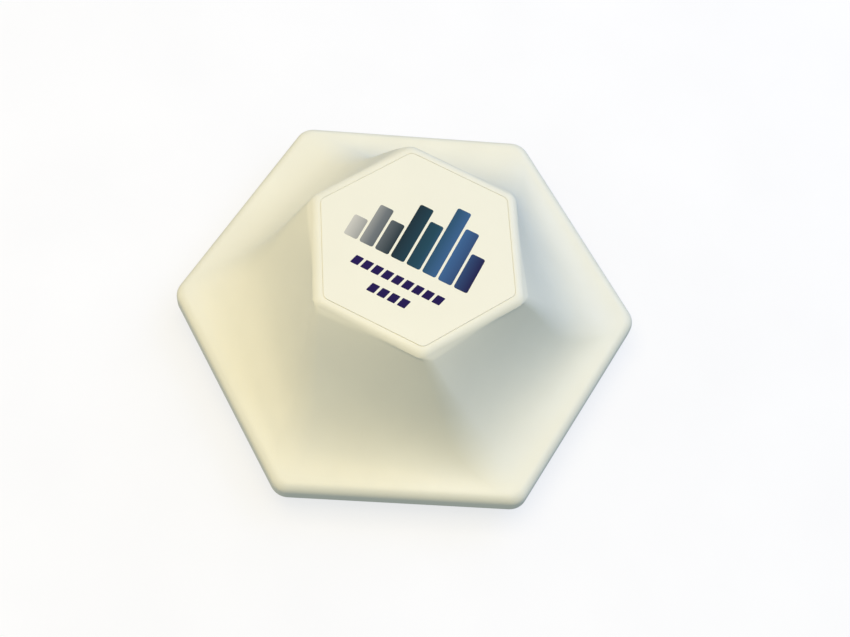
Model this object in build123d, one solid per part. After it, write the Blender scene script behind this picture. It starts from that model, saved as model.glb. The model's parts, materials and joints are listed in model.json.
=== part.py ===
"""Directional antenna for the 2.4 GHz band, right-hand circular polarisation, in a hexagonal radome.

The radome is a moulded cover: a thin flat rim flares up to a smaller hexagonal top that is turned against the rim
and carries a hexagonal label. Inside, a crossed dipole stands a quarter wave above a flat reflector, fed by a rigid
coaxial line, with a director disc above it. A threaded plug with a free-turning coupling nut leaves the back.

Millimetres. +Z is boresight, out of the front. The origin is the centre of the back face, at z = 0.
"""

from build123d import *
import math
import os

# ---------------------------------------------------------------- driving dimensions

WAVELENGTH = 125.0  # free space, in the middle of the 2.4 GHz band
RIM_RADIUS = 100.0  # centre to the sharp corner of the rim's hexagon
FLAT_RATIO = math.cos(math.pi / 6)  # a hexagon's flat distance over its corner distance

WALL = 2.0  # radome wall
RIM_HEIGHT = 9.0
RIM_FILLET = 4.2
RIM_CORNER = 8.0  # corner radius of the rim's hexagon, seen from the front

TOP_HEIGHT = 61.8
TOP_FLAT = 38.2  # centre to the edge of the flat top, across flats
TOP_FLAT_CORNER = 4.5
TOP_FILLET = 4.5
TOP_CORNER = 5.0  # corner radius below that fillet
TOP_TURN = -25.2  # degrees that the top hexagon is turned against the rim

FLARE_START_SLOPE = 1.5  # degrees from horizontal, beside the rim
FLARE_START_PULL = 0.545  # length of the curve's handle there, over the flare's width
FLARE_END_SLOPE = 64.6
FLARE_END_PULL = 0.634
FLARE_SOFTNESS = 9.0  # extra corner radius halfway between rim and top

LABEL_RADIUS = 43.6  # centre to corner
LABEL_CORNER = 3.0
LABEL_THICKNESS = 0.45
LABEL_RECESS = 0.3
LABEL_GAP = 0.25

PLATE_THICKNESS = 2.0
PLATE_GAP = 0.3
GASKET_THICKNESS = 0.5
GASKET_WIDTH = 4.0

REFLECTOR_THICKNESS = 1.0
REFLECTOR_INRADIUS = 77.0
REFLECTOR_CORNER = 10.0

BOARD_THICKNESS = 0.8
BOARD_RADIUS = 32.0
COPPER_THICKNESS = 0.1
ARM_LENGTH = 28.0
ARM_ROOT_WIDTH = 3.0
ARM_TIP_WIDTH = 9.0
PHASE_RING_RADIUS = 5.0
PHASE_RING_WIDTH = 1.2
FEED_PAD_RADIUS = 2.8

DIRECTOR_RADIUS = 22.0  # 0.35 wavelengths across
DIRECTOR_THICKNESS = 0.8
FOAM_RADIUS = 21.0

POST_SPACING = 26.0
POST_FLATS = 6.0
UPPER_POST_LENGTH = 17.0
STUD_LENGTH = 6.0
SCREW_RADIUS = 1.45  # M3
SCREW_HOLE = 1.5
PASSING_HOLE = 1.65
SCREW_HEAD_RADIUS = 2.75
SCREW_HEAD_SINK = 0.1  # how far a countersunk head lies below the back face
RECESS_WIDTH = 0.7
RECESS_LENGTH = 3.0
RECESS_DEPTH = 0.9

BOSS_CIRCLE = 70.0  # radius on which the radome's six screw bosses stand
BOSS_RADIUS = 3.5
BOSS_SCREW_END = 8.0
BOSS_THREAD_CORE = 1.15
BOSS_THREAD_PITCH = 0.8

INSERT_SPACING = 60.0
INSERT_LENGTH = 6.0
INSERT_RADIUS = 2.8
INSERT_BORE = 1.65  # core of an M4 thread
INSERT_BOSS_RADIUS = 4.75
INSERT_BOSS_TOP = 8.0

FLANGE_SIZE = 12.7
FLANGE_THICKNESS = 1.6
FLANGE_CORNER = 1.0
FLANGE_SEAL = 0.5
FLANGE_HOLE_SPACING = 8.64
FLANGE_SCREW_RADIUS = 1.2
FLANGE_HOLE = 1.3

COAX_OUTER = 1.79  # radii of the semi-rigid line
COAX_INNER = 1.49
CONDUCTOR_RADIUS = 0.46
COAX_END = -3.0

NUT_FLATS = 7.94
NUT_START = -4.4
NUT_END = -13.1
NECK_RADIUS = 2.8
NECK_END = -7.4
NUT_CLEARANCE = 0.05
CONTACT_RADIUS = 2.3
CONTACT_END = -9.6
INSULATOR_RADIUS = 2.05
PIN_TIP = -12.1
THREAD_MAJOR = 3.175  # quarter-inch thread, 36 to the inch
THREAD_MINOR = 2.825
THREAD_PITCH = 25.4 / 36

# ---------------------------------------------------------------- levels and sizes worked out from them

RIM_INRADIUS = RIM_RADIUS * FLAT_RATIO
SHOULDER_TANGENT = TOP_FILLET * math.tan(math.radians(FLARE_END_SLOPE) / 2)
TOP_INRADIUS = TOP_FLAT + SHOULDER_TANGENT  # where the flat top and the flare would meet without the fillet
POCKET_INRADIUS = RIM_INRADIUS - WALL
PLATE_INRADIUS = POCKET_INRADIUS - PLATE_GAP
REFLECTOR_TOP = PLATE_THICKNESS + REFLECTOR_THICKNESS
LEDGE = PLATE_THICKNESS + GASKET_THICKNESS
BOARD_BOTTOM = REFLECTOR_TOP + round(WAVELENGTH * 0.208)
BOARD_TOP = BOARD_BOTTOM + BOARD_THICKNESS
DIRECTOR_BOTTOM = BOARD_TOP + UPPER_POST_LENGTH
DIRECTOR_TOP = DIRECTOR_BOTTOM + DIRECTOR_THICKNESS
CEILING = TOP_HEIGHT - LABEL_RECESS - WALL
FLANGE_TOP = -FLANGE_SEAL
FLANGE_BOTTOM = FLANGE_TOP - FLANGE_THICKNESS


# ---------------------------------------------------------------- small helpers


def hexagon(inradius, corner, turn=0.0, height=0.0):
    """A rounded hexagon as a face, with its first corner on +X before the turn, in degrees."""
    radius = inradius / FLAT_RATIO
    angles = [math.radians(turn + 60 * k) for k in range(6)]
    corners = [(radius * math.cos(a), radius * math.sin(a)) for a in angles]
    return Pos(0, 0, height) * make_face(FilletPolyline(*corners, radius=corner, close=True))


def prism(profile, bottom, top, x=0.0, y=0.0):
    """A flat profile raised between two levels."""
    return Pos(x, y, bottom) * extrude(profile, top - bottom)


def disc(radius, bottom, top, x=0.0, y=0.0):
    """An upright cylinder between two levels."""
    return prism(Circle(radius), bottom, top, x, y)


def nut_shape(flats):
    """A sharp hexagon with the given distance across its flats."""
    return RegularPolygon(flats / 2, 6, major_radius=False)


def turned(points):
    """A closed outline of (radius, height) points, turned round the axis."""
    outline = [(radius, 0, height) for radius, height in points]
    return revolve(make_face(Polyline(*outline, close=True)), Axis.Z)


def square_places(spacing):
    """The four corners of a square."""
    half = spacing / 2
    return [(x, y) for x in (-half, half) for y in (-half, half)]


def boss_places():
    """The six screw bosses, in the corner directions of the rim."""
    angles = [math.radians(60 * k) for k in range(6)]
    return [(BOSS_CIRCLE * math.cos(a), BOSS_CIRCLE * math.sin(a)) for a in angles]


def copies(shape, places):
    """The same solid at each place, as one group of separate solids."""
    return Compound([Pos(x, y, 0) * shape for x, y in places])


# ---------------------------------------------------------------- radome


def flare_curve():
    """The flare's section through the middle of a flat, as a cubic curve in (flat distance, height)."""
    slope_in = math.radians(FLARE_START_SLOPE)
    slope_out = math.radians(FLARE_END_SLOPE)
    start = (RIM_INRADIUS - RIM_FILLET, RIM_HEIGHT)
    end_x = TOP_INRADIUS + SHOULDER_TANGENT * math.cos(slope_out)
    end = (end_x, TOP_HEIGHT - SHOULDER_TANGENT * math.sin(slope_out))
    handle_in = FLARE_START_PULL * (start[0] - end[0])
    handle_out = FLARE_END_PULL * (start[0] - end[0])
    first = (start[0] - math.cos(slope_in) * handle_in, start[1] + math.sin(slope_in) * handle_in)
    second = (end[0] + math.cos(slope_out) * handle_out, end[1] - math.sin(slope_out) * handle_out)
    return Bezier(start, first, second, end)


def turn_at(inradius):
    """How far the flare has turned at a flat distance. Its corner lines are straight, seen from the front."""
    angle = math.radians(TOP_TURN)
    step_x = TOP_INRADIUS * math.cos(angle) - RIM_INRADIUS
    step_y = TOP_INRADIUS * math.sin(angle)
    a = step_x**2 + step_y**2
    b = 2 * RIM_INRADIUS * step_x
    c = RIM_INRADIUS**2 - inradius**2
    share = (-b - math.sqrt(max(b * b - 4 * a * c, 0.0))) / (2 * a)
    return math.degrees(math.atan2(share * step_y, RIM_INRADIUS + share * step_x))


def corner_at(inradius):
    """Corner radius of the flare at a flat distance: sharpest at the rim and the top, softest in between."""
    share = min(max((RIM_INRADIUS - inradius) / (RIM_INRADIUS - TOP_INRADIUS), 0.0), 1.0)
    return RIM_CORNER + (TOP_CORNER - RIM_CORNER) * share**2 + FLARE_SOFTNESS * math.sin(math.pi * share) ** 2


def outer_sections():
    """Hexagons up the outside, from the rim's edge to the flat top."""
    sections = []
    for degrees in (0, 30, 60, 90 - FLARE_START_SLOPE):
        angle = math.radians(degrees)
        inset = RIM_FILLET * (1 - math.cos(angle))
        height = RIM_HEIGHT - RIM_FILLET * (1 - math.sin(angle))
        sections.append(hexagon(RIM_INRADIUS - inset, RIM_CORNER, 0, height))
    curve = flare_curve()
    steps = 9
    for step in range(1, steps + 1):
        point = curve @ (step / steps)
        sections.append(hexagon(point.X, corner_at(point.X), turn_at(point.X), point.Y))
    slope = math.radians(FLARE_END_SLOPE)
    for share in (2 / 3, 1 / 3, 0):
        inradius = TOP_FLAT + TOP_FILLET * math.sin(slope * share)
        height = TOP_HEIGHT - TOP_FILLET * (1 - math.cos(slope * share))
        corner = TOP_FLAT_CORNER + (TOP_CORNER - TOP_FLAT_CORNER) * share
        sections.append(hexagon(inradius, corner, TOP_TURN, height))
    return sections


def inner_sections():
    """Hexagons up the inside, one wall away from the outside, to the flat ceiling."""
    start = POCKET_INRADIUS - GASKET_WIDTH
    sections = [hexagon(start, corner_at(start) - WALL, turn_at(start), PLATE_THICKNESS)]
    curve = flare_curve()
    steps = 18
    for step in range(1, steps):
        point = curve @ (step / steps)
        slope = curve % (step / steps)
        inradius = point.X - WALL * slope.Y
        height = point.Y + WALL * slope.X
        if inradius < start - WALL:
            sections.append(hexagon(inradius, corner_at(point.X) - WALL / 2, turn_at(point.X), height))
    slope = math.radians(FLARE_END_SLOPE)
    fillet = CEILING - TOP_HEIGHT + TOP_FILLET
    for share in (1, 1 / 2, 0):
        inradius = TOP_FLAT + fillet * math.sin(slope * share)
        height = CEILING - fillet * (1 - math.cos(slope * share))
        corner = TOP_FLAT_CORNER + (TOP_CORNER - TOP_FLAT_CORNER) * share
        sections.append(hexagon(inradius, corner - WALL / 2, TOP_TURN, height))
    return sections


def radome():
    """The moulded cover: rim, flare and top as one shell, with six screw bosses inside."""
    rim = prism(hexagon(RIM_INRADIUS, RIM_CORNER), 0, RIM_HEIGHT - RIM_FILLET)
    skin = rim + loft(outer_sections())
    bosses = copies(disc(BOSS_RADIUS, PLATE_THICKNESS, CEILING), boss_places()) & skin
    pocket = prism(hexagon(POCKET_INRADIUS, RIM_CORNER - WALL), -1, LEDGE)
    shell = skin - pocket - loft(inner_sections()) + bosses
    pilots = copies(disc(SCREW_HOLE, 0, BOSS_SCREW_END + 0.5), boss_places())
    recess_inradius = LABEL_RADIUS * FLAT_RATIO + LABEL_GAP
    recess = hexagon(recess_inradius, LABEL_CORNER + LABEL_GAP, TOP_TURN)
    return shell - pilots - prism(recess, TOP_HEIGHT - LABEL_RECESS, TOP_HEIGHT + 1)


def front_label():
    """The printed label in its shallow recess."""
    bottom = TOP_HEIGHT - LABEL_RECESS
    outline = hexagon(LABEL_RADIUS * FLAT_RATIO, LABEL_CORNER, TOP_TURN)
    return prism(outline, bottom, bottom + LABEL_THICKNESS)


def rim_gasket():
    """The flat seal between the radome's ledge and the back plate."""
    corner = RIM_CORNER - WALL - PLATE_GAP
    outside = hexagon(PLATE_INRADIUS, corner)
    inside = hexagon(PLATE_INRADIUS - GASKET_WIDTH + PLATE_GAP, corner - GASKET_WIDTH)
    return prism(outside - inside, PLATE_THICKNESS, LEDGE)


def foam_pad():
    """The foam block that steadies the director against the radome's ceiling."""
    pad = disc(FOAM_RADIUS, DIRECTOR_TOP, CEILING)
    return pad - copies(disc(SCREW_HEAD_RADIUS + 0.4, DIRECTOR_TOP, DIRECTOR_TOP + 2.6), square_places(POST_SPACING))


# ---------------------------------------------------------------- back plate and its fasteners


def countersink(x, y):
    """The cone and hole that a countersunk M3 screw passes through, from the back face up."""
    wide = SCREW_HEAD_RADIUS + SCREW_HEAD_SINK
    cone = turned([(0, 0), (wide, 0), (SCREW_HOLE, wide - SCREW_HOLE), (0, wide - SCREW_HOLE)])
    return Pos(x, y, 0) * (cone + disc(SCREW_HOLE, 0, PLATE_THICKNESS))


def back_plate():
    """The moulded plate that closes the back, with four bosses for the bracket's threaded inserts."""
    plate = prism(hexagon(PLATE_INRADIUS, RIM_CORNER - WALL - PLATE_GAP), 0, PLATE_THICKNESS)
    plate += copies(disc(INSERT_BOSS_RADIUS, 0, INSERT_BOSS_TOP), square_places(INSERT_SPACING))
    plate -= copies(disc(INSERT_RADIUS, 0, INSERT_LENGTH + 1), square_places(INSERT_SPACING))
    plate -= disc(NECK_RADIUS + 0.3, 0, PLATE_THICKNESS)
    plate -= copies(disc(FLANGE_HOLE, 0, PLATE_THICKNESS), square_places(FLANGE_HOLE_SPACING))
    for x, y in boss_places() + square_places(POST_SPACING):
        plate -= countersink(x, y)
    return plate


def cross_recess(bottom):
    """The cross that a screwdriver fits."""
    slot = Rectangle(RECESS_LENGTH, RECESS_WIDTH)
    return prism(slot + Rot(0, 0, 90) * slot, bottom, bottom + RECESS_DEPTH)


def countersunk_screw(end):
    """An M3 screw with its head in the back face, and a plain shank up to a level."""
    bottom = SCREW_HEAD_SINK
    neck = bottom + SCREW_HEAD_RADIUS - SCREW_RADIUS
    outline = [(0, bottom), (SCREW_HEAD_RADIUS, bottom), (SCREW_RADIUS, neck)]
    outline += [(SCREW_RADIUS, end - 0.3), (SCREW_RADIUS - 0.3, end), (0, end)]
    return turned(outline) - cross_recess(bottom)


def perimeter_screw():
    """A self-tapping screw that holds the back plate to a radome boss."""
    bottom = SCREW_HEAD_SINK
    neck = bottom + SCREW_HEAD_RADIUS - SCREW_RADIUS
    outline = [(0, bottom), (SCREW_HEAD_RADIUS, bottom), (SCREW_RADIUS, neck), (SCREW_RADIUS, PLATE_THICKNESS)]
    level = PLATE_THICKNESS
    while level + BOSS_THREAD_PITCH < BOSS_SCREW_END - 0.5:
        outline += [(BOSS_THREAD_CORE, level + 0.3 * BOSS_THREAD_PITCH)]
        outline += [(BOSS_THREAD_CORE, level + 0.6 * BOSS_THREAD_PITCH), (SCREW_RADIUS, level + BOSS_THREAD_PITCH)]
        level += BOSS_THREAD_PITCH
    outline += [(BOSS_THREAD_CORE, level + 0.4), (0.2, BOSS_SCREW_END), (0, BOSS_SCREW_END)]
    return turned(outline) - cross_recess(bottom)


def bracket_insert():
    """A brass threaded insert, with two grooved bands round it."""
    outline = [(INSERT_BORE + 0.25, 0), (INSERT_RADIUS, 0), (INSERT_RADIUS, 2.4), (INSERT_RADIUS - 0.35, 2.6)]
    outline += [(INSERT_RADIUS - 0.35, 3.4), (INSERT_RADIUS, 3.6), (INSERT_RADIUS, 5.6)]
    outline += [(INSERT_RADIUS - 0.3, INSERT_LENGTH), (INSERT_BORE, INSERT_LENGTH), (INSERT_BORE, 0.25)]
    return turned(outline)


# ---------------------------------------------------------------- reflector, radiator and director


def reflector():
    """The flat aluminium sheet behind the dipole."""
    sheet = hexagon(REFLECTOR_INRADIUS, REFLECTOR_CORNER)
    sheet -= Sketch() + [Pos(x, y) * Circle(BOSS_RADIUS + 1) for x, y in boss_places()]
    sheet -= Sketch() + [Pos(x, y) * Circle(INSERT_BOSS_RADIUS + 0.5) for x, y in square_places(INSERT_SPACING)]
    sheet -= Sketch() + [Pos(x, y) * Circle(PASSING_HOLE) for x, y in square_places(POST_SPACING)]
    sheet -= Sketch() + [Pos(x, y) * Circle(FLANGE_HOLE) for x, y in square_places(FLANGE_HOLE_SPACING)]
    sheet -= Circle(NECK_RADIUS)
    return prism(sheet, PLATE_THICKNESS, REFLECTOR_TOP)


def lower_post():
    """A nylon hexagonal spacer from the reflector to the board, tapped at both ends."""
    post = prism(nut_shape(POST_FLATS), REFLECTOR_TOP, BOARD_BOTTOM)
    post -= disc(SCREW_HOLE, REFLECTOR_TOP, REFLECTOR_TOP + 8)
    return post - disc(SCREW_HOLE, BOARD_BOTTOM - STUD_LENGTH - 1, BOARD_BOTTOM)


def upper_post():
    """A nylon hexagonal spacer from the board to the director, with a stud through the board."""
    post = prism(nut_shape(POST_FLATS), BOARD_TOP, DIRECTOR_BOTTOM)
    post += disc(SCREW_RADIUS, BOARD_BOTTOM - STUD_LENGTH, BOARD_TOP)
    return post - disc(SCREW_HOLE, DIRECTOR_BOTTOM - 8, DIRECTOR_BOTTOM)


def radiator_board():
    """The round circuit board that carries the crossed dipole."""
    board = Circle(BOARD_RADIUS) - Circle(COAX_INNER)
    board -= Sketch() + [Pos(x, y) * Circle(PASSING_HOLE) for x, y in square_places(POST_SPACING)]
    return prism(board, BOARD_BOTTOM, BOARD_TOP)


def copper_side(feed_hole):
    """Two dipole arms at right angles: one from the feed, and one a quarter wave later, through the ring."""
    root = ARM_ROOT_WIDTH / 2
    tip = ARM_TIP_WIDTH / 2
    arm = make_face(Polyline((0, -root), (ARM_LENGTH, -tip), (ARM_LENGTH, tip), (0, root), close=True))
    inner = PHASE_RING_RADIUS - PHASE_RING_WIDTH / 2
    outer = PHASE_RING_RADIUS + PHASE_RING_WIDTH / 2
    ring = Circle(outer) - Circle(inner)
    ring -= Pos(outer / 2, outer / 2) * Rectangle(outer, outer)
    late_arm = Rot(0, 0, 90) * arm - Circle(inner)
    return arm + late_arm + ring + Circle(FEED_PAD_RADIUS) - Circle(feed_hole)


def top_copper():
    """The upper side's arms, fed by the centre conductor."""
    return prism(copper_side(CONDUCTOR_RADIUS), BOARD_TOP, BOARD_TOP + COPPER_THICKNESS)


def bottom_copper():
    """The lower side's arms, fed by the line's jacket."""
    side = Rot(0, 0, 180) * copper_side(COAX_INNER)
    return prism(side, BOARD_BOTTOM - COPPER_THICKNESS, BOARD_BOTTOM)


def director():
    """The aluminium disc that narrows the beam."""
    plate = Circle(DIRECTOR_RADIUS)
    plate -= Sketch() + [Pos(x, y) * Circle(PASSING_HOLE) for x, y in square_places(POST_SPACING)]
    return prism(plate, DIRECTOR_BOTTOM, DIRECTOR_TOP)


def director_screw():
    """A nylon pan-head screw down into an upper post."""
    head = DIRECTOR_TOP
    end = DIRECTOR_BOTTOM - 6
    outline = [(0, end), (SCREW_RADIUS, end), (SCREW_RADIUS, head), (SCREW_HEAD_RADIUS, head)]
    outline += [(SCREW_HEAD_RADIUS, head + 1.2), (SCREW_HEAD_RADIUS - 0.7, head + 2.0), (0, head + 2.0)]
    slot = prism(Rectangle(2 * SCREW_HEAD_RADIUS + 1, RECESS_WIDTH), head + 1.2, head + 2.5)
    return turned(outline) - slot


# ---------------------------------------------------------------- feed line and plug


def coax_jacket():
    """The solid copper jacket of the feed line."""
    return prism(Circle(COAX_OUTER) - Circle(COAX_INNER), COAX_END, BOARD_BOTTOM - COPPER_THICKNESS)


def coax_dielectric():
    """The line's insulation, up through the board."""
    return prism(Circle(COAX_INNER) - Circle(CONDUCTOR_RADIUS), COAX_END, BOARD_TOP)


def centre_conductor():
    """One wire from the plug's pin to the upper copper."""
    end = BOARD_TOP + COPPER_THICKNESS + 0.6
    tip = CONDUCTOR_RADIUS - 0.2
    outline = [(0, PIN_TIP), (tip, PIN_TIP), (CONDUCTOR_RADIUS, PIN_TIP + 0.5), (CONDUCTOR_RADIUS, end), (0, end)]
    return turned(outline)


def solder_joints():
    """The fillets of solder at the two ends of the feed."""
    top = BOARD_TOP + COPPER_THICKNESS
    bead = [(CONDUCTOR_RADIUS, top), (1.6, top), (0.9, top + 0.25), (CONDUCTOR_RADIUS + 0.1, top + 0.6)]
    bead += [(CONDUCTOR_RADIUS, top + 0.6)]
    low = BOARD_BOTTOM - COPPER_THICKNESS
    collar = [(COAX_OUTER, low), (COAX_OUTER, low - 0.8), (COAX_OUTER + 0.2, low - 0.4), (2.7, low)]
    return Compound([turned(bead), turned(collar)])


def connector_body():
    """The plug's one-piece body: boss through the plate, square flange, neck and outer contact."""
    boss_top = REFLECTOR_TOP - 0.2
    outline = [(COAX_OUTER, boss_top), (NECK_RADIUS - 0.2, boss_top), (NECK_RADIUS - 0.2, FLANGE_BOTTOM)]
    outline += [(NECK_RADIUS, FLANGE_BOTTOM), (NECK_RADIUS, -5.2), (2.35, -5.2), (2.35, -5.9)]
    outline += [(NECK_RADIUS, -5.9), (NECK_RADIUS, NECK_END), (CONTACT_RADIUS, NECK_END)]
    outline += [(CONTACT_RADIUS, CONTACT_END), (INSULATOR_RADIUS, CONTACT_END)]
    outline += [(INSULATOR_RADIUS, COAX_END), (COAX_OUTER, COAX_END)]
    flange = RectangleRounded(FLANGE_SIZE, FLANGE_SIZE, FLANGE_CORNER) - Circle(NECK_RADIUS - 0.3)
    flange -= Sketch() + [Pos(x, y) * Circle(FLANGE_HOLE) for x, y in square_places(FLANGE_HOLE_SPACING)]
    return turned(outline) + prism(flange, FLANGE_BOTTOM, FLANGE_TOP)


def connector_insulator():
    """The white insulator round the pin."""
    return prism(Circle(INSULATOR_RADIUS) - Circle(CONDUCTOR_RADIUS), CONTACT_END, COAX_END)


def connector_seal():
    """The rubber ring that the mating socket presses against."""
    return prism(Circle(2.72) - Circle(2.35), NECK_END - 0.8, NECK_END)


def retaining_ring():
    """The split ring, in grooves of both the neck and the nut, that holds the nut on."""
    ring = Circle(3.1) - Circle(2.4) - Pos(2.75, 0) * Rectangle(1.5, 1.2)
    return prism(ring, -5.8, -5.3)


def coupling_nut():
    """The hexagonal nut that turns on the neck, threaded inside at its open end."""
    blank = prism(nut_shape(NUT_FLATS), NUT_END, NUT_START)
    edge = NUT_FLATS / 2 - 0.1
    far = NUT_FLATS / 2 + 2
    rise = (far - edge) * math.tan(math.radians(30))
    envelope = [(0, NUT_START), (edge, NUT_START), (far, NUT_START - rise), (far, NUT_END + rise)]
    envelope += [(edge, NUT_END), (0, NUT_END)]
    blank = blank & turned(envelope)
    guide = NECK_RADIUS + NUT_CLEARANCE
    bore = [(0, NUT_START + 1), (guide, NUT_START + 1), (guide, -5.1), (3.35, -5.1), (3.35, -6.0), (guide, -6.0)]
    level = -8.6
    bore += [(guide, level), (THREAD_MINOR, level)]
    while level - THREAD_PITCH > NUT_END + 0.4:
        bore += [(THREAD_MAJOR, level - THREAD_PITCH / 2), (THREAD_MINOR, level - THREAD_PITCH)]
        level -= THREAD_PITCH
    bore += [(THREAD_MINOR, NUT_END + 0.4), (THREAD_MAJOR + 0.1, NUT_END), (THREAD_MAJOR + 0.1, NUT_END - 1)]
    bore += [(0, NUT_END - 1)]
    return blank - turned(bore)


def flange_gasket():
    """The rubber sheet between the flange and the back plate."""
    sheet = RectangleRounded(FLANGE_SIZE, FLANGE_SIZE, FLANGE_CORNER) - Circle(NECK_RADIUS)
    sheet -= Sketch() + [Pos(x, y) * Circle(FLANGE_HOLE) for x, y in square_places(FLANGE_HOLE_SPACING)]
    return prism(sheet, FLANGE_TOP, 0)


def flange_screw():
    """A low-head M2.5 screw through the flange, plate and reflector."""
    head = 2.0
    bottom = FLANGE_BOTTOM - 1.6
    end = REFLECTOR_TOP + 2.6
    outline = [(0, bottom), (head - 0.25, bottom), (head, bottom + 0.25), (head, FLANGE_BOTTOM)]
    outline += [(FLANGE_SCREW_RADIUS, FLANGE_BOTTOM), (FLANGE_SCREW_RADIUS, end), (0, end)]
    return turned(outline) - prism(nut_shape(1.5), bottom, bottom + 0.9)


def flange_nut():
    """The plain nut on each flange screw."""
    return prism(nut_shape(5.0) - Circle(FLANGE_SCREW_RADIUS + 0.05), REFLECTOR_TOP, REFLECTOR_TOP + 2)


# ---------------------------------------------------------------- the files


def save(shape, name):
    """Writes one sub-part's STEP file."""
    solids = shape.solids()
    whole = solids[0] if len(solids) == 1 else Compound(list(solids))
    whole.label = name
    export_step(whole, f"parts/{name}.step")


os.makedirs("parts", exist_ok=True)

for part in (
    radome,
    front_label,
    rim_gasket,
    foam_pad,
    back_plate,
    reflector,
    radiator_board,
    top_copper,
    bottom_copper,
    director,
    coax_jacket,
    coax_dielectric,
    centre_conductor,
    solder_joints,
    connector_body,
    connector_insulator,
    connector_seal,
    retaining_ring,
    coupling_nut,
    flange_gasket,
):
    save(part(), part.__name__)

save(copies(perimeter_screw(), boss_places()), "perimeter_screws")
save(copies(bracket_insert(), square_places(INSERT_SPACING)), "bracket_inserts")
save(copies(countersunk_screw(REFLECTOR_TOP + 7), square_places(POST_SPACING)), "stack_screws")
save(copies(lower_post(), square_places(POST_SPACING)), "lower_posts")
save(copies(upper_post(), square_places(POST_SPACING)), "upper_posts")
save(copies(director_screw(), square_places(POST_SPACING)), "director_screws")
save(copies(flange_screw(), square_places(FLANGE_HOLE_SPACING)), "flange_screws")
save(copies(flange_nut(), square_places(FLANGE_HOLE_SPACING)), "flange_nuts")
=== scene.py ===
"""Looks for the hexagonal directional antenna: materials, cover, printed label, studio and camera.

Metres, in the part's own frame: +Z is boresight, and the origin is the centre of the back face.
"""

import json
import math

import bmesh
import bpy
from mathutils import Euler, Matrix, Vector


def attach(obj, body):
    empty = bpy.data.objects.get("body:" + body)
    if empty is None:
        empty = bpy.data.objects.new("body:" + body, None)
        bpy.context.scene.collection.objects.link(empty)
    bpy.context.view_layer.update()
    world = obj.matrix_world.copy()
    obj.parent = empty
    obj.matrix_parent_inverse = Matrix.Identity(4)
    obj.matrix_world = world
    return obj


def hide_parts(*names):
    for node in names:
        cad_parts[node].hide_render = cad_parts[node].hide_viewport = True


MM = 0.001
FLAT_RATIO = math.cos(math.pi / 6)  # a hexagon's flat distance over its corner distance
FLOOR_LEVEL = -13.1 * MM

RIM_INRADIUS = 100 * FLAT_RATIO * MM
RIM_HEIGHT = 9.0 * MM
RIM_FILLET = 4.2 * MM
RIM_CORNER = 8.0 * MM
TOP_HEIGHT = 61.8 * MM
TOP_FLAT = 38.2 * MM
TOP_FLAT_CORNER = 4.5 * MM
TOP_FILLET = 4.5 * MM
TOP_CORNER = 5.0 * MM
FLARE_START_SLOPE = math.radians(1.5)  # rises by this inwards from the rim
FLARE_START_PULL = 0.545
FLARE_END_SLOPE = math.radians(64.6)
FLARE_END_PULL = 0.634
FLARE_SOFTNESS = 9.0 * MM  # extra corner radius halfway up
WALL = 2.0 * MM
BACK_EDGE = 0.3 * MM  # bevel round the back
LEDGE = 2.5 * MM
LEDGE_WIDTH = 4.0 * MM
RECESS_INRADIUS = 38.01 * MM
RECESS_CORNER = 3.25 * MM
SHOULDER_TANGENT = TOP_FILLET * math.tan(FLARE_END_SLOPE / 2)
TOP_INRADIUS = TOP_FLAT + SHOULDER_TANGENT  # where flat top and flare would meet without the fillet

BOSS_CIRCLE = 70 * MM
BOSS_RADIUS = 3.5 * MM
BOSS_BOTTOM = 2.0 * MM
BOSS_TOP = 9.2 * MM
PILOT_RADIUS = 1.5 * MM
PILOT_TOP = 8.5 * MM
BOSS_SIDES = 32

ARC_STEPS = 10  # faces round a hexagon's corner
EDGE_STEPS = 16  # along its side
FLARE_STEPS = 56
FILLET_STEPS = 8
SHARP_ANGLE = math.radians(40)

LABEL_TURN = math.radians(-25.2)
LABEL_RADIUS = 43.6 * MM  # centre to corner
LABEL_CORNER = 3.0 * MM
LABEL_BOTTOM = 61.5 * MM
LABEL_TOP = 61.95 * MM
LABEL_EDGE = 0.06 * MM  # bevel
INK_THICKNESS = 0.03 * MM
INK_BOTTOM = LABEL_TOP - INK_THICKNESS

BARS_START = -29.0 * MM
BARS_BASE = -9.0 * MM
BAR_PITCH = 7.0 * MM
BAR_WIDTH = 6.0 * MM
BAR_CORNER = 0.9 * MM
BAR_HEIGHTS = (10, 19, 15, 27, 22, 33, 26, 17)  # millimetres
DASH_ROWS = ((-19.0 * MM, 9), (-26.8 * MM, 4))  # level of the lower side, count
DASH_PITCH = 4.5 * MM
DASH_WIDTH = 3.4 * MM
DASH_HEIGHT = 4.0 * MM
DASH_SLANT = 1.0 * MM
DASH_CORNER = 0.3 * MM

FLOOR_REACH = 1.4  # centre to side, in metres
FLOOR_GLOW = 0.7
LAMP_SIZE = 1.2  # metres
LAMP_DISTANCE = 1.6
SKY_COLOUR = (0.783, 0.939, 1.0)
SKY_STRENGTH = 0.346
BACKDROP_COLOUR = (0.98, 0.98, 0.98)

CAMERA_AT = (-0.0329, -0.2738, 0.5739)  # metres
CAMERA_TURN = (25.158, -4.9, 1.658)  # degrees about X, Y and Z, from looking straight down
SENSOR_WIDTH = 36.0  # millimetres, as the lens
LENS = 61.88
NEAR_CLIP = 0.01

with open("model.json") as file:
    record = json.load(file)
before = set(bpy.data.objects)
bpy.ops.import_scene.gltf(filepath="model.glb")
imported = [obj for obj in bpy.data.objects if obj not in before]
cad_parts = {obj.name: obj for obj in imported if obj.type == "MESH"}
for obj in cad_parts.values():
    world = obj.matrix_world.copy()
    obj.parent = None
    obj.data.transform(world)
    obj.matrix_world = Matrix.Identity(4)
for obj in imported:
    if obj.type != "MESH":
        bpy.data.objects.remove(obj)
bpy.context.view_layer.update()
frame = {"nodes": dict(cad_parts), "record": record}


# ---------------------------------------------------------------- materials


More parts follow.
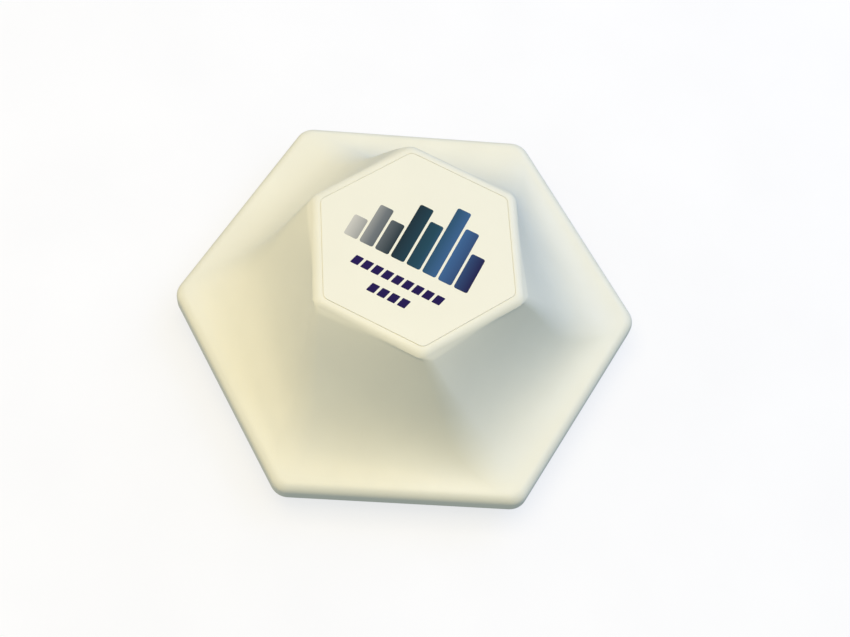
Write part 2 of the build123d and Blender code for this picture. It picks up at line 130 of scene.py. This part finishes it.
class Nodes:
    """A material and short ways to add nodes to it."""

    def __init__(self, name):
        self.material = bpy.data.materials.new(name)
        self.material.use_nodes = True
        self.tree = self.material.node_tree
        self.shader = self.tree.nodes["Principled BSDF"]
        self.place = self.add("ShaderNodeTexCoord").outputs["Object"]

    def add(self, kind, **settings):
        node = self.tree.nodes.new(kind)
        for key, value in settings.items():
            setattr(node, key, value)
        return node

    def link(self, source, target):
        self.tree.links.new(source, target)

    def noise(self, size, detail=2.0, rough=0.5, stretch=None):
        """Noise with features of about the given size, in metres. Returns its value, from 0 to 1."""
        node = self.add("ShaderNodeTexNoise")
        node.inputs["Scale"].default_value = 1.0 / size
        node.inputs["Detail"].default_value = detail
        node.inputs["Roughness"].default_value = rough
        where = self.place
        if stretch:
            mapping = self.add("ShaderNodeMapping")
            mapping.inputs["Scale"].default_value = stretch
            self.link(where, mapping.inputs["Vector"])
            where = mapping.outputs["Vector"]
        self.link(where, node.inputs["Vector"])
        return node.outputs["Fac"]

    def ramp(self, value, stops):
        """A colour ramp over (position, colour) stops."""
        node = self.add("ShaderNodeValToRGB")
        elements = node.color_ramp.elements
        while len(elements) < len(stops):
            elements.new(0.5)
        for element, (position, colour) in zip(elements, stops):
            element.position = position
            element.color = (*colour, 1.0)
        self.link(value, node.inputs["Fac"])
        return node.outputs["Color"]

    def times(self, first, second):
        """The product of two sockets."""
        node = self.add("ShaderNodeMath", operation="MULTIPLY")
        self.link(first, node.inputs[0])
        self.link(second, node.inputs[1])
        return node.outputs["Value"]

    def spread(self, value, low, high):
        """Takes noise round 0.5 to the range low to high."""
        node = self.add("ShaderNodeMapRange")
        node.inputs["From Min"].default_value = 0.3
        node.inputs["From Max"].default_value = 0.7
        node.inputs["To Min"].default_value = low
        node.inputs["To Max"].default_value = high
        self.link(value, node.inputs["Value"])
        return node.outputs["Result"]

    def bump(self, heights):
        """Chains bumps: (height socket, depth in metres) pairs."""
        normal = None
        for height, depth in heights:
            node = self.add("ShaderNodeBump")
            node.inputs["Distance"].default_value = depth
            node.inputs["Strength"].default_value = 1.0
            self.link(height, node.inputs["Height"])
            if normal:
                self.link(normal, node.inputs["Normal"])
            normal = node.outputs["Normal"]
        self.link(normal, self.shader.inputs["Normal"])

    def fixed(self, **values):
        for name, value in values.items():
            self.shader.inputs[name.replace("_", " ")].default_value = value


def shade(colour, factor):
    return tuple(min(1.0, channel * factor) for channel in colour)


def plastic(name, colour, roughness, grain=0.35 * MM, depth=0.004 * MM, mottle=0.02, specular=0.5):
    """Moulded plastic: fine erosion grain, slow waviness from shrinkage and faint mottling."""
    nodes = Nodes(name)
    nodes.fixed(Metallic=0.0, Specular_IOR_Level=specular)
    broad = nodes.noise(30 * MM, 3.0)
    stops = [(0.3, shade(colour, 1 - mottle)), (0.7, shade(colour, 1 + mottle))]
    nodes.link(nodes.ramp(broad, stops), nodes.shader.inputs["Base Color"])
    fine = nodes.noise(grain, 2.0, 0.6)
    middle = nodes.noise(6 * MM, 2.0)
    polish = nodes.spread(middle, roughness - 0.04, roughness + 0.04)
    nodes.link(polish, nodes.shader.inputs["Roughness"])
    nodes.bump([(broad, 0.02 * MM), (fine, depth)])
    return nodes.material


def metal(name, colour, roughness, stretch=(1, 1, 1), grain=0.25 * MM, depth=0.002 * MM, tarnish=0.12):
    """Metal with brushed or turned marks, uneven polish and slight tarnish."""
    nodes = Nodes(name)
    nodes.fixed(Metallic=1.0)
    cloud = nodes.noise(4 * MM, 3.0)
    stops = [(0.3, shade(colour, 1 - tarnish)), (0.65, colour)]
    nodes.link(nodes.ramp(cloud, stops), nodes.shader.inputs["Base Color"])
    marks = nodes.noise(grain, 2.0, 0.6, stretch)
    polish = nodes.spread(marks, roughness - 0.06, roughness + 0.08)
    nodes.link(polish, nodes.shader.inputs["Roughness"])
    nodes.bump([(marks, depth)])
    return nodes.material


def rubber(name, colour, roughness=0.75):
    """Rubber sheet with a dull, slightly dusty surface."""
    nodes = Nodes(name)
    nodes.fixed(Metallic=0.0, Specular_IOR_Level=0.35)
    dust = nodes.noise(2 * MM, 3.0)
    stops = [(0.35, colour), (0.75, shade(colour, 1.6))]
    nodes.link(nodes.ramp(dust, stops), nodes.shader.inputs["Base Color"])
    fine = nodes.noise(0.2 * MM, 2.0)
    polish = nodes.spread(fine, roughness - 0.08, roughness + 0.08)
    nodes.link(polish, nodes.shader.inputs["Roughness"])
    nodes.bump([(fine, 0.01 * MM)])
    return nodes.material


def foam(name, colour):
    """Open-cell foam: small pits in the bump, with painted shade darkening them."""
    nodes = Nodes(name)
    nodes.fixed(Metallic=0.0, Specular_IOR_Level=0.2, Roughness=0.95)
    cells = nodes.add("ShaderNodeTexVoronoi")
    cells.inputs["Scale"].default_value = 1 / (0.9 * MM)
    nodes.link(nodes.place, cells.inputs["Vector"])
    pit_depth_and_shade = cells.outputs["Distance"]
    # painted shade: the colour is darkest in the pits and lighter on the ridges between them, as shade
    # falls in real pores
    stops = [(0.05, shade(colour, 0.35)), (0.45, colour), (0.9, shade(colour, 1.3))]
    nodes.link(nodes.ramp(pit_depth_and_shade, stops), nodes.shader.inputs["Base Color"])
    nodes.bump([(pit_depth_and_shade, 0.2 * MM)])
    return nodes.material


def board(name, colour):
    """Solder mask over glass weave."""
    nodes = Nodes(name)
    nodes.fixed(Metallic=0.0, Roughness=0.3, Coat_Weight=0.3)
    weave = [nodes.add("ShaderNodeTexWave", bands_direction=axis) for axis in ("X", "Y")]
    for wave in weave:
        wave.inputs["Scale"].default_value = 1 / (4 * MM)
        nodes.link(nodes.place, wave.inputs["Vector"])
    threads = nodes.times(weave[0].outputs["Fac"], weave[1].outputs["Fac"])
    stops = [(0.0, shade(colour, 0.8)), (1.0, shade(colour, 1.25))]
    nodes.link(nodes.ramp(threads, stops), nodes.shader.inputs["Base Color"])
    nodes.bump([(threads, 0.01 * MM)])
    return nodes.material


CREAM = (0.85, 0.83, 0.715)
MATERIALS = {
    "radome_plastic": plastic("cream_plastic", CREAM, 0.42),
    "label_film": plastic("label_film", (0.87, 0.85, 0.74), 0.32, 0.15 * MM, 0.0015 * MM, 0.008),
    "plate_plastic": plastic("plate_plastic", shade(CREAM, 0.96), 0.5, 0.5 * MM, 0.01 * MM),
    "gasket_rubber": rubber("gasket_rubber", (0.025, 0.025, 0.028)),
    "steel": metal("steel", (0.56, 0.56, 0.57), 0.3),
    "aluminium": metal("aluminium", (0.80, 0.81, 0.82), 0.36, (0.04, 1, 1), 0.3 * MM),
    "white_nylon": plastic("white_nylon", (0.82, 0.81, 0.77), 0.5),
    "circuit_board": board("circuit_board", (0.02, 0.13, 0.06)),
    "copper": metal("copper", (0.78, 0.42, 0.26), 0.3),
    "solder": metal("solder", (0.66, 0.66, 0.65), 0.22),
    "insulator_white": plastic("insulator_white", (0.88, 0.88, 0.86), 0.45),
    "gold_plating": metal("gold_plating", (0.86, 0.62, 0.25), 0.2),
    "brass": metal("brass", (0.74, 0.53, 0.25), 0.28, (1, 1, 0.1)),
    "seal_rubber": rubber("seal_rubber", (0.35, 0.04, 0.02)),
    "grey_foam": foam("grey_foam", (0.06, 0.06, 0.065)),
}

SLOT_OF = {row["node"]: row["material_slot"] for row in frame["record"]["subparts"]}


def dress(piece, material):
    piece.data.materials.clear()
    piece.data.materials.append(material)


for node, piece in frame["nodes"].items():
    dress(piece, MATERIALS[SLOT_OF[node]])


# ---------------------------------------------------------------- radome


def ring(inradius, corner, turn, height):
    """A rounded hexagon's points at a height, first corner on +X before the turn."""
    points = []
    reach = (inradius - corner) / FLAT_RATIO
    for k in range(6):
        middle = turn + math.radians(60 * k)
        ends = []
        for direction in (middle, middle + math.radians(60)):
            ends.append(Vector((reach * math.cos(direction), reach * math.sin(direction), height)))
        for step in range(ARC_STEPS + 1):
            angle = middle + math.radians(60 * step / ARC_STEPS - 30)
            points.append(ends[0] + corner * Vector((math.cos(angle), math.sin(angle), 0)))
        side = corner * Vector((math.cos(middle + math.pi / 6), math.sin(middle + math.pi / 6), 0))
        for step in range(1, EDGE_STEPS):
            points.append(ends[0].lerp(ends[1], step / EDGE_STEPS) + side)
    return points


def flare_points():
    """The flare's section through a flat's middle, a cubic curve, as (flat distance, height, slope)."""
    start = Vector((RIM_INRADIUS - RIM_FILLET, RIM_HEIGHT))
    rising = Vector((-math.cos(FLARE_START_SLOPE), math.sin(FLARE_START_SLOPE)))
    falling = Vector((math.cos(FLARE_END_SLOPE), -math.sin(FLARE_END_SLOPE)))
    end = Vector((TOP_INRADIUS, TOP_HEIGHT)) + falling * SHOULDER_TANGENT
    width = start.x - end.x
    first = start + rising * FLARE_START_PULL * width
    second = end + falling * FLARE_END_PULL * width
    points = []
    for step in range(1, FLARE_STEPS + 1):
        t = step / FLARE_STEPS
        s = 1 - t
        place = start * s**3 + first * 3 * s * s * t + second * 3 * s * t * t + end * t**3
        way = (first - start) * s * s + (second - first) * 2 * s * t + (end - second) * t * t
        points.append((place.x, place.y, math.atan2(way.y, -way.x)))
    return points


def turn_at(inradius):
    """The flare's turn at a flat distance. Seen from the front, its corner lines are straight."""
    step_x = TOP_INRADIUS * math.cos(LABEL_TURN) - RIM_INRADIUS
    step_y = TOP_INRADIUS * math.sin(LABEL_TURN)
    a = step_x**2 + step_y**2
    b = 2 * RIM_INRADIUS * step_x
    c = RIM_INRADIUS**2 - inradius**2
    share = (-b - math.sqrt(max(b * b - 4 * a * c, 0.0))) / (2 * a)
    return math.atan2(share * step_y, RIM_INRADIUS + share * step_x)


def corner_at(inradius):
    """The flare's corner radius at a flat distance: sharpest at rim and top, softest in between."""
    share = min(max((RIM_INRADIUS - inradius) / (RIM_INRADIUS - TOP_INRADIUS), 0.0), 1.0)
    softness = FLARE_SOFTNESS * math.sin(math.pi * share) ** 2
    return RIM_CORNER + (TOP_CORNER - RIM_CORNER) * share**2 + softness


def outer_rings():
    """From the back edge up to the label's recess."""
    rings = [ring(RIM_INRADIUS - BACK_EDGE, RIM_CORNER - BACK_EDGE, 0, 0)]
    rings.append(ring(RIM_INRADIUS, RIM_CORNER, 0, BACK_EDGE))
    for step in range(FILLET_STEPS + 1):
        angle = (math.pi / 2 - FLARE_START_SLOPE) * step / FILLET_STEPS
        inset = RIM_FILLET * (1 - math.cos(angle))
        height = RIM_HEIGHT - RIM_FILLET * (1 - math.sin(angle))
        rings.append(ring(RIM_INRADIUS - inset, RIM_CORNER, 0, height))
    for inradius, height, _ in flare_points():
        rings.append(ring(inradius, corner_at(inradius), turn_at(inradius), height))
    for step in range(FILLET_STEPS - 1, -1, -1):
        share = step / FILLET_STEPS
        angle = FLARE_END_SLOPE * share
        corner = TOP_FLAT_CORNER + (TOP_CORNER - TOP_FLAT_CORNER) * share
        height = TOP_HEIGHT - TOP_FILLET * (1 - math.cos(angle))
        rings.append(ring(TOP_FLAT + TOP_FILLET * math.sin(angle), corner, LABEL_TURN, height))
    rings.append(ring(RECESS_INRADIUS, RECESS_CORNER, LABEL_TURN, TOP_HEIGHT))
    rings.append(ring(RECESS_INRADIUS, RECESS_CORNER, LABEL_TURN, LABEL_BOTTOM))
    return rings


def inner_rings():
    """From the back edge up to the ceiling: pocket for the back plate, ledge, inside of the wall."""
    pocket = RIM_INRADIUS - WALL
    start = pocket - LEDGE_WIDTH
    rings = [ring(pocket, RIM_CORNER - WALL, 0, height) for height in (0, LEDGE)]
    rings.append(ring(start, corner_at(start) - WALL, turn_at(start), LEDGE))
    for inradius, height, slope in flare_points():
        inside = inradius - WALL * math.sin(slope)
        if inside < start - WALL:
            corner = corner_at(inradius) - WALL / 2
            rings.append(ring(inside, corner, turn_at(inradius), height - WALL * math.cos(slope)))
    rings.append(ring(TOP_FLAT, TOP_FLAT_CORNER - WALL / 2, LABEL_TURN, LABEL_BOTTOM - WALL))
    return rings


def boss_rings(x, y):
    """A screw boss and its pilot hole, as rings from the wall down to the mouth and up the hole."""
    outline = [(BOSS_RADIUS, BOSS_TOP), (BOSS_RADIUS, BOSS_BOTTOM)]
    outline += [(PILOT_RADIUS, BOSS_BOTTOM), (PILOT_RADIUS, PILOT_TOP)]
    angles = [math.tau * k / BOSS_SIDES for k in range(BOSS_SIDES)]
    rings = []
    for radius, z in outline:
        rings.append([Vector((x + radius * math.cos(a), y + radius * math.sin(a), z)) for a in angles])
    return rings


def skin(edit, rings, closed_start=False):
    """Joins rings of equal length into a surface, and closes its end and, if asked, its start."""
    loops = [[edit.verts.new(point) for point in points] for points in rings]
    for low, high in zip(loops, loops[1:]):
        for index, corner in enumerate(low):
            after = (index + 1) % len(low)
            edit.faces.new((corner, low[after], high[after], high[index]))
    edit.faces.new(loops[-1])
    if closed_start:
        edit.faces.new(loops[0][::-1])
    return loops


edit = bmesh.new()
outside = skin(edit, outer_rings())
inside = skin(edit, inner_rings())
for index, corner in enumerate(outside[0]):
    after = (index + 1) % len(outside[0])
    edit.faces.new((corner, outside[0][after], inside[0][after], inside[0][index]))
for k in range(6):
    angle = math.radians(60 * k)
    skin(edit, boss_rings(BOSS_CIRCLE * math.cos(angle), BOSS_CIRCLE * math.sin(angle)), True)
bmesh.ops.recalc_face_normals(edit, faces=edit.faces)
cover_mesh = bpy.data.meshes.new("cover")
edit.to_mesh(cover_mesh)
edit.free()
cover_mesh.shade_smooth()
cover_mesh.set_sharp_from_angle(angle=SHARP_ANGLE)
cover = bpy.data.objects.new("cover", cover_mesh)
bpy.context.scene.collection.objects.link(cover)
dress(cover, MATERIALS["radome_plastic"])
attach(cover, "antenna")
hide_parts("radome")

# ---------------------------------------------------------------- printed label


def rounded(corners, radius, steps=8):
    """A closed outline with each corner rounded. Corners are (x, y), counterclockwise."""
    points = []
    for index, corner in enumerate(corners):
        here = Vector(corner)
        back = (Vector(corners[index - 1]) - here).normalized()
        ahead = (Vector(corners[(index + 1) % len(corners)]) - here).normalized()
        half = back.angle(ahead) / 2
        centre = here + (back + ahead).normalized() * (radius / math.sin(half))
        start = here + back * (radius / math.tan(half)) - centre
        sweep = math.pi - 2 * half
        for step in range(steps + 1):
            turn = Matrix.Rotation(sweep * step / steps, 2)
            points.append(centre + turn @ start)
    return points


def raised(edit, outline, bottom, top, edge=0.0):
    """Adds a flat shape between two levels to a bmesh, with a small bevel round its upper face."""
    centre = sum(outline, Vector((0, 0))) / len(outline)
    rings = []
    for inset, level in ((0.0, bottom), (0.0, top - edge), (edge, top)):
        inner = [point + (centre - point).normalized() * inset for point in outline]
        rings.append([Vector((point.x, point.y, level)) for point in inner])
    skin(edit, rings, closed_start=True)


def label_piece(name, outlines, bottom, top, material, edge=0.0):
    """One mesh of flat shapes, drawn in the label's own axes and turned with it."""
    edit = bmesh.new()
    for outline in outlines:
        raised(edit, outline, bottom, top, edge)
    turn = Matrix.Rotation(LABEL_TURN, 3, "Z")
    bmesh.ops.rotate(edit, verts=edit.verts, cent=(0, 0, 0), matrix=turn)
    mesh = bpy.data.meshes.new(name)
    edit.to_mesh(mesh)
    edit.free()
    piece = bpy.data.objects.new(name, mesh)
    bpy.context.scene.collection.objects.link(piece)
    dress(piece, material)
    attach(piece, "antenna")
    return piece


def box_outline(left, low, right, high, slant=0.0):
    """A four-cornered outline whose upper side is shifted along by the slant."""
    return [(left, low), (right, low), (right + slant, high), (left + slant, high)]


def ink(name, stops):
    """Printed ink that fades through its colours along the label."""
    nodes = Nodes(name)
    nodes.fixed(Roughness=0.5, Specular_IOR_Level=0.12)
    mapping = nodes.add("ShaderNodeMapping", vector_type="TEXTURE")
    mapping.inputs["Rotation"].default_value = (0, 0, LABEL_TURN)
    nodes.link(nodes.place, mapping.inputs["Vector"])
    split = nodes.add("ShaderNodeSeparateXYZ")
    nodes.link(mapping.outputs["Vector"], split.inputs["Vector"])
    along = nodes.add("ShaderNodeMapRange")
    along.inputs["From Min"].default_value = BARS_START
    along.inputs["From Max"].default_value = BARS_START + BAR_PITCH * len(BAR_HEIGHTS)
    nodes.link(split.outputs["X"], along.inputs["Value"])
    grain = nodes.noise(0.4 * MM, 2.0)
    nodes.link(nodes.ramp(along.outputs["Result"], stops), nodes.shader.inputs["Base Color"])
    nodes.bump([(grain, 0.001 * MM)])
    return nodes.material


def srgb(red, green, blue):
    """A colour given in 8-bit display values, as linear light."""
    channels = [value / 255 for value in (red, green, blue)]
    return tuple(c / 12.92 if c < 0.04045 else ((c + 0.055) / 1.055) ** 2.4 for c in channels)


around = [math.radians(60 * k) for k in range(6)]
label_corners = [(LABEL_RADIUS * math.cos(angle), LABEL_RADIUS * math.sin(angle)) for angle in around]
outline = rounded(label_corners, LABEL_CORNER)
label = label_piece("label", [outline], LABEL_BOTTOM, INK_BOTTOM, MATERIALS["label_film"], LABEL_EDGE)
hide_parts("front_label")

bars = []
for place, height in enumerate(BAR_HEIGHTS):
    left = BARS_START + BAR_PITCH * place + (BAR_PITCH - BAR_WIDTH) / 2
    box = box_outline(left, BARS_BASE, left + BAR_WIDTH, BARS_BASE + height * MM)
    bars.append(rounded(box, BAR_CORNER))
fade = [
    (0.0, srgb(205, 203, 198)),
    (0.2, srgb(110, 116, 122)),
    (0.38, srgb(22, 44, 56)),
    (0.58, srgb(28, 70, 90)),
    (0.76, srgb(58, 98, 148)),
    (1.0, srgb(24, 16, 70)),
]
label_piece("label_bars", bars, INK_BOTTOM, LABEL_TOP, ink("bar_ink", fade))

dashes = []
for low, count in DASH_ROWS:
    for place in range(count):
        left = (place - count / 2) * DASH_PITCH
        box = box_outline(left, low, left + DASH_WIDTH, low + DASH_HEIGHT, DASH_SLANT)
        dashes.append(rounded(box, DASH_CORNER))
dash_ink = ink("dash_ink", [(0.0, srgb(30, 12, 84)), (1.0, srgb(26, 10, 78))])
label_piece("label_dashes", dashes, INK_BOTTOM, LABEL_TOP, dash_ink)

# ---------------------------------------------------------------- studio

floor_mesh = bpy.data.meshes.new("floor")
edit = bmesh.new()
bmesh.ops.create_grid(edit, x_segments=1, y_segments=1, size=FLOOR_REACH)
edit.to_mesh(floor_mesh)
edit.free()
floor = bpy.data.objects.new("floor", floor_mesh)
floor.location.z = FLOOR_LEVEL
bpy.context.scene.collection.objects.link(floor)
paper = Nodes("paper")
# The paper is lit from below too, as on a light table.
paper.fixed(Roughness=0.9, Specular_IOR_Level=0.1, Emission_Strength=FLOOR_GLOW)
paper.shader.inputs["Emission Color"].default_value = (1.0, 1.0, 1.0, 1.0)
tone = paper.noise(60 * MM, 3.0)
stops = [(0.3, (0.27, 0.27, 0.29)), (0.7, (0.29, 0.29, 0.31))]
paper.link(paper.ramp(tone, stops), paper.shader.inputs["Base Color"])
dress(floor, paper.material)
floor.visible_diffuse = False  # the floor throws no light back on the part
floor.visible_glossy = False
floor.visible_transmission = False


def soft_light(name, azimuth, elevation, power, colour):
    """A square soft box aimed at the part. Azimuth is from +X towards +Y, both in degrees."""
    data = bpy.data.lights.new(name, "AREA")
    data.size = LAMP_SIZE
    data.energy = power
    data.color = colour
    lamp = bpy.data.objects.new(name, data)
    a = math.radians(azimuth)
    e = math.radians(elevation)
    way = Vector((math.cos(a) * math.cos(e), math.sin(a) * math.cos(e), math.sin(e)))
    lamp.location = way * LAMP_DISTANCE
    lamp.rotation_euler = way.to_track_quat("Z", "Y").to_euler()
    bpy.context.scene.collection.objects.link(lamp)


soft_light("top_light", 180, 80, 15.4, (1.0, 0.79, 0.375))
soft_light("right_light", 0, 58, 6.0, (0.55, 0.71, 1.0))
soft_light("back_light", 45, 40, 9.2, (0.4, 0.545, 1.0))
soft_light("left_light", 180, 12, 7.0, (1.0, 0.87, 0.65))

# The sky lights the part softly. Where it shows behind the floor it is the floor's own pale white.
world = bpy.data.worlds.new("studio")
world.use_nodes = True
tree = world.node_tree
sky = tree.nodes["Background"]
sky.inputs["Color"].default_value = (*SKY_COLOUR, 1.0)
sky.inputs["Strength"].default_value = SKY_STRENGTH
backdrop = tree.nodes.new("ShaderNodeBackground")
backdrop.inputs["Color"].default_value = (*BACKDROP_COLOUR, 1.0)
seen = tree.nodes.new("ShaderNodeLightPath")
either = tree.nodes.new("ShaderNodeMixShader")
tree.links.new(seen.outputs["Is Camera Ray"], either.inputs["Fac"])
tree.links.new(sky.outputs["Background"], either.inputs[1])
tree.links.new(backdrop.outputs["Background"], either.inputs[2])
tree.links.new(either.outputs["Shader"], tree.nodes["World Output"].inputs["Surface"])
bpy.context.scene.world = world
bpy.context.scene.view_settings.view_transform = "Standard"

# ---------------------------------------------------------------- camera

camera_data = bpy.data.cameras.new("camera")
camera_data.sensor_width = SENSOR_WIDTH
camera_data.lens = LENS
camera_data.clip_start = NEAR_CLIP
camera = bpy.data.objects.new("camera", camera_data)
camera_turn = Euler([math.radians(angle) for angle in CAMERA_TURN])
camera.matrix_world = Matrix.LocRotScale(Vector(CAMERA_AT), camera_turn, None)
bpy.context.scene.collection.objects.link(camera)
bpy.context.scene.camera = camera
